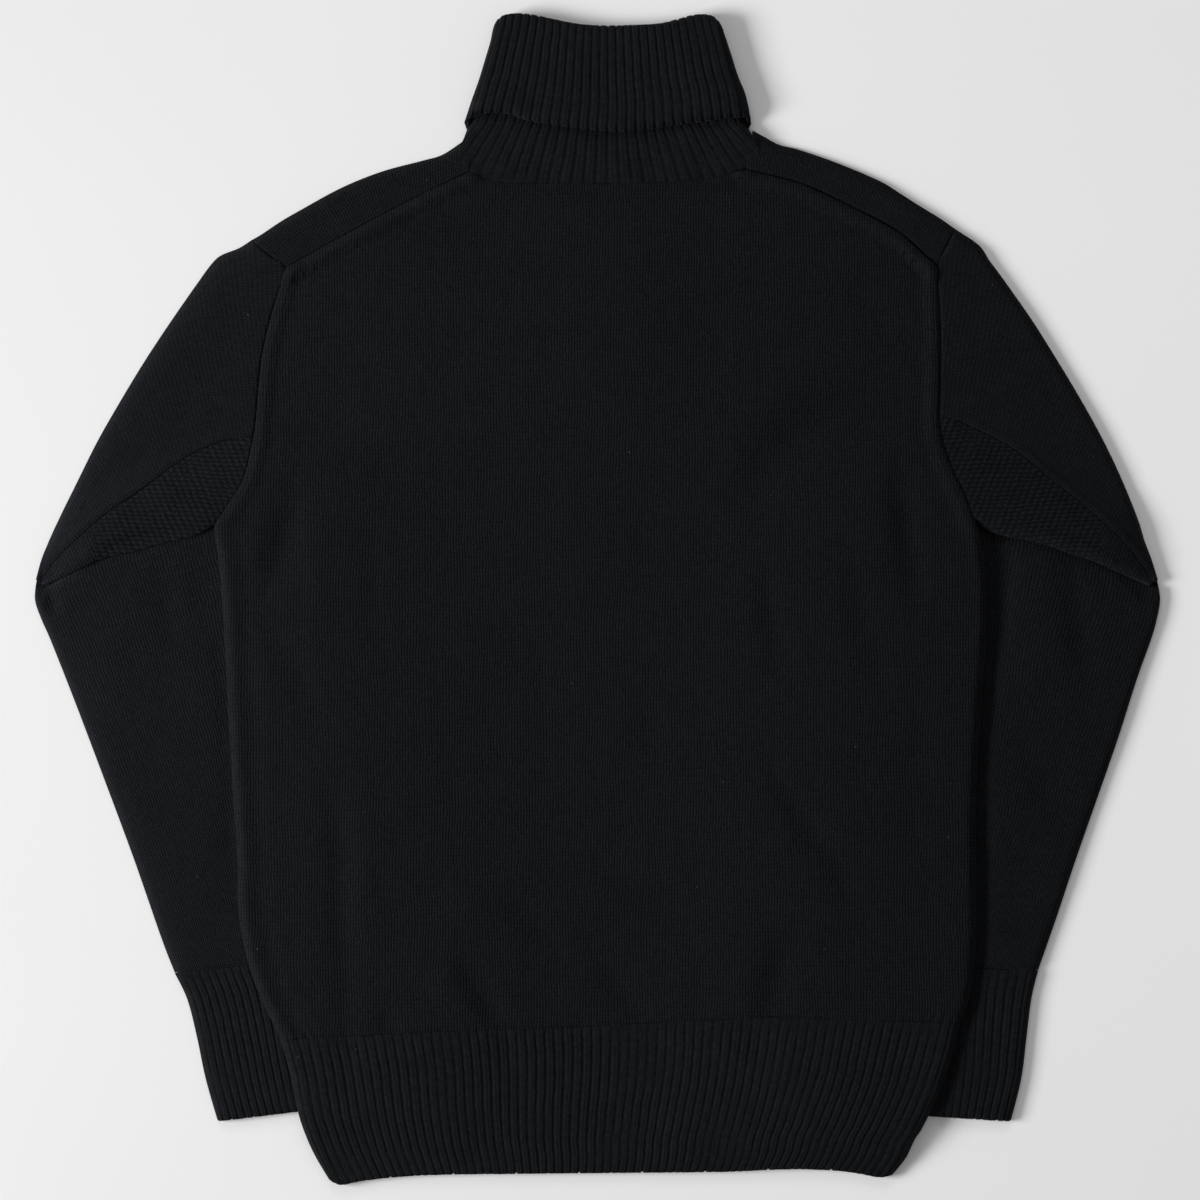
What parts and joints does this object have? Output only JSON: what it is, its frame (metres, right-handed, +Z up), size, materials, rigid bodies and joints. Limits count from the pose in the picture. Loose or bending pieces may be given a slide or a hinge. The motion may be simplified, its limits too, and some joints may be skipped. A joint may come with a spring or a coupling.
{
  "type": "turtleneck sweater",
  "caption": "Chunky knitted roll-neck sweater laid flat on its front, sleeves bent and tucked under the body.",
  "frame": {"origin": "middle of the whole garment's outline, on the surface that it lies on", "axes": "+Y from the hem to the collar, +X to the right seen from above, +Z up; the back of the garment faces up"},
  "size_m": [0.7848, 0.8187, 0.0117],
  "materials": {
    "plain_knit": "black wool, plain knit, matt with a soft nap",
    "rib_knit": "black wool, ribbed knit, matt with a soft nap",
    "reversed_knit": "black wool, reversed stitch, matt with a soft nap"
  },
  "bodies": {
    "root": {"back_panel": "plain_knit", "front_panel": "plain_knit", "hem_back": "rib_knit", "hem_front": "rib_knit", "collar_stand": "rib_knit", "collar_roll": "rib_knit", "shoulder_left": "plain_knit", "sleeve_left_upper": "plain_knit", "gusset_left": "reversed_knit", "sleeve_left_lower": "plain_knit", "cuff_left": "rib_knit", "shoulder_right": "plain_knit", "sleeve_right_upper": "plain_knit", "gusset_right": "reversed_knit", "sleeve_right_lower": "plain_knit", "cuff_right": "rib_knit"}
  },
  "joints": []
}
